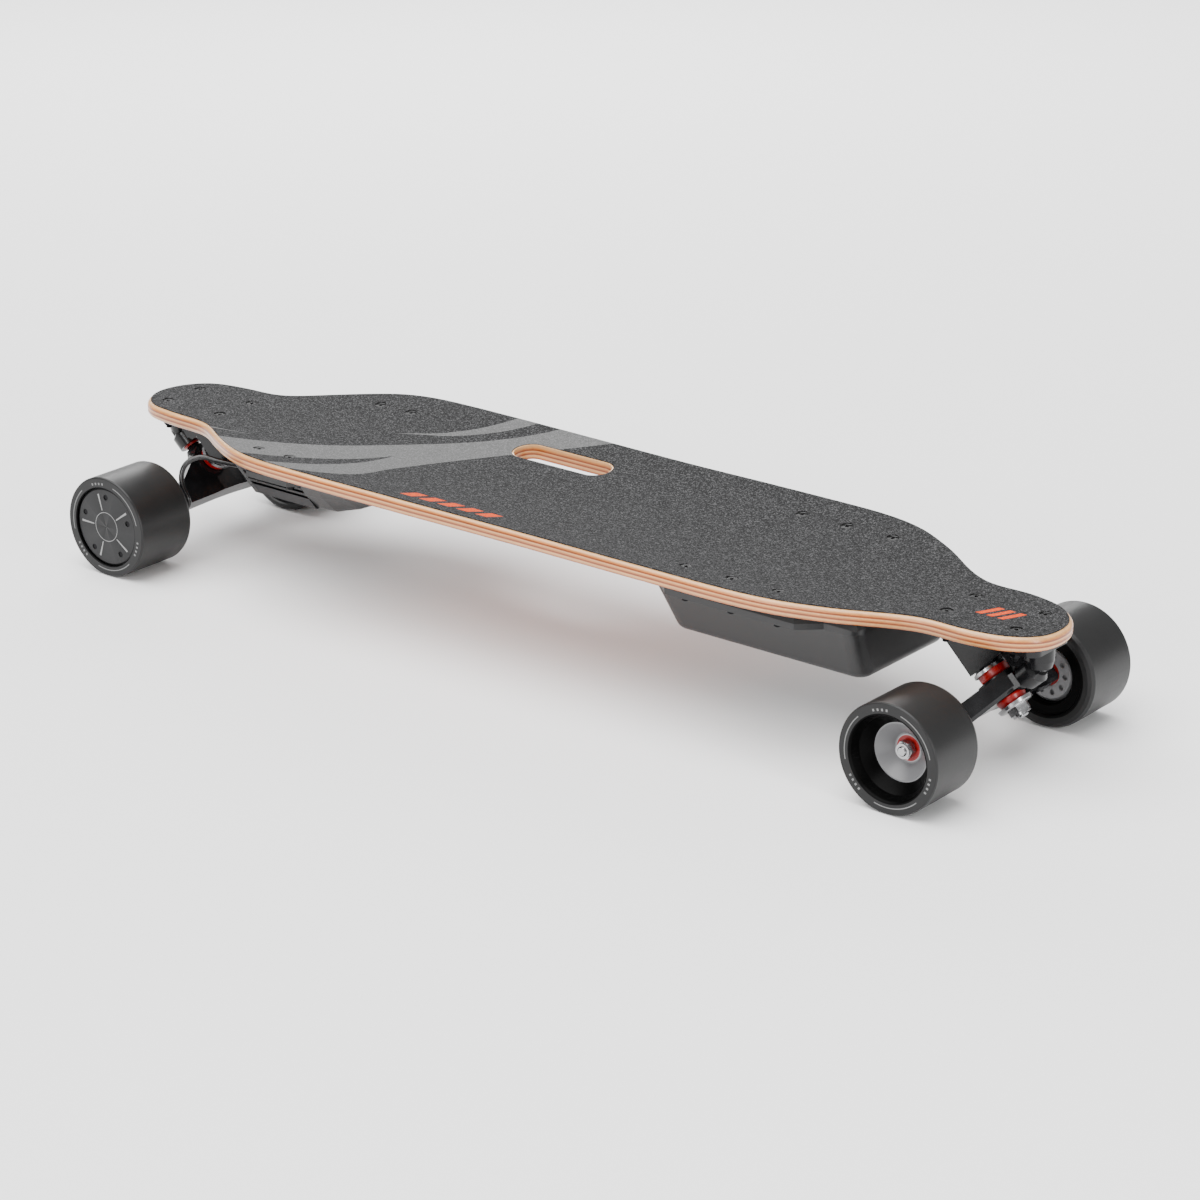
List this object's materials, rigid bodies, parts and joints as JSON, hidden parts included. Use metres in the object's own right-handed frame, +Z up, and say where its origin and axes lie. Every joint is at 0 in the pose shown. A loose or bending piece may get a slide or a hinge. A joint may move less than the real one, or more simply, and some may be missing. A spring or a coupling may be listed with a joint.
{
  "type": "electric skateboard",
  "caption": "Electric longboard: concave maple deck with a carrying slot, reverse-kingpin trucks, hub-motor rear wheels and free front wheels, battery and controller cases below.",
  "frame": {"origin": "on the ground under the middle of the deck", "axes": "+X towards the nose, +Y to the rider's left side of the board, +Z up"},
  "size_m": [0.9545, 0.288, 0.1334],
  "materials": {
    "maple": "satin",
    "grip": "matte",
    "steel_black": "satin",
    "cast_black": "satin",
    "urethane_red": "matte",
    "steel": "satin",
    "case_plastic": "matte",
    "foam": "matte",
    "cell_wrap": "matte",
    "black_plastic": "matte",
    "circuit_board": "matte",
    "black_aluminium": "satin",
    "capacitor": "matte",
    "cable": "matte",
    "truck_black": "satin",
    "iron": "satin",
    "copper": "satin",
    "soft_black": "matte",
    "urethane_black": "satin",
    "core_grey": "matte",
    "bearing": "satin"
  },
  "bodies": {
    "board": {"deck": "maple", "grip_tape": "grip", "truck_bolts": "steel_black", "truck_nuts": "steel_black", "case_bolts": "steel_black", "case_nuts": "steel_black", "front_baseplate": "cast_black", "rear_baseplate": "cast_black", "front_pivot_cup": "urethane_red", "rear_pivot_cup": "urethane_red", "kingpins": "steel", "kingpin_nuts": "steel", "bushing_washers": "steel", "front_bushings": "urethane_red", "rear_bushings": "urethane_red", "battery_case": "case_plastic", "battery_gasket": "foam", "battery_cells": "cell_wrap", "cell_holders": "black_plastic", "bms_board": "circuit_board", "charge_socket": "black_plastic", "power_switch": "steel", "esc_case": "case_plastic", "esc_gasket": "foam", "esc_heatsink": "black_aluminium", "esc_cable_glands": "black_plastic", "esc_board": "circuit_board", "esc_capacitors": "capacitor", "rear_left_motor_cable": "cable", "rear_right_motor_cable": "cable", "power_cable": "cable"},
    "front_truck": {"front_hanger": "truck_black", "front_axle": "steel", "front_axle_nuts": "steel", "front_axle_rings": "steel", "front_bearing_inner_races": "steel"},
    "rear_truck": {"rear_hanger": "truck_black", "rear_shafts": "steel", "rear_stators": "iron", "rear_windings": "copper"},
    "charge_cap": {"charge_cap": "soft_black"},
    "power_button": {"power_button": "steel"},
    "front_left_wheel": {"front_left_tyre": "urethane_black", "front_left_core": "core_grey", "front_left_bearing_outer_races": "bearing"},
    "rear_left_wheel": {"rear_left_sleeve": "urethane_black", "rear_left_motor_can": "black_aluminium", "rear_left_magnets": "steel", "rear_left_motor_cover": "black_aluminium", "rear_left_cover_screws": "steel_black", "rear_left_bearings": "bearing"},
    "front_right_wheel": {"front_right_tyre": "urethane_black", "front_right_core": "core_grey", "front_right_bearing_outer_races": "bearing"},
    "rear_right_wheel": {"rear_right_sleeve": "urethane_black", "rear_right_motor_can": "black_aluminium", "rear_right_magnets": "steel", "rear_right_motor_cover": "black_aluminium", "rear_right_cover_screws": "steel_black", "rear_right_bearings": "bearing"}
  },
  "joints": [
    {"name": "front_steer", "type": "hinge", "parent": "board", "child": "front_truck", "pos_m": [0.4137, 0, 0.045], "axis": [0.7071, 0, 0.7071], "range_deg": [-14, 14], "stiffness_Nm_per_rad": 70, "deforming": ["front_bushings"]},
    {"name": "rear_steer", "type": "hinge", "parent": "board", "child": "rear_truck", "pos_m": [-0.4081, 0, 0.045], "axis": [-0.7071, 0, 0.7071], "range_deg": [-14, 14], "stiffness_Nm_per_rad": 70, "deforming": ["rear_bushings", "rear_left_motor_cable", "rear_right_motor_cable"]},
    {"name": "charge_cap_hinge", "type": "hinge", "parent": "board", "child": "charge_cap", "pos_m": [0.206, 0.0762, 0.1002], "axis": [1, 0, 0], "range_deg": [0, 100]},
    {"name": "power_button_press", "type": "slide", "parent": "board", "child": "power_button", "axis": [0, -1, 0], "range_m": [0, 0.0015], "stiffness_N_per_m": 800},
    {"name": "front_left_wheel_spin", "type": "hinge", "parent": "front_truck", "child": "front_left_wheel", "pos_m": [0.4137, 0, 0.045], "axis": [0, 1, 0], "continuous": true},
    {"name": "rear_left_wheel_spin", "type": "hinge", "parent": "rear_truck", "child": "rear_left_wheel", "pos_m": [-0.4081, 0, 0.045], "axis": [0, 1, 0], "continuous": true},
    {"name": "front_right_wheel_spin", "type": "hinge", "parent": "front_truck", "child": "front_right_wheel", "pos_m": [0.4137, 0, 0.045], "axis": [0, 1, 0], "continuous": true},
    {"name": "rear_right_wheel_spin", "type": "hinge", "parent": "rear_truck", "child": "rear_right_wheel", "pos_m": [-0.4081, 0, 0.045], "axis": [0, 1, 0], "continuous": true}
  ]
}
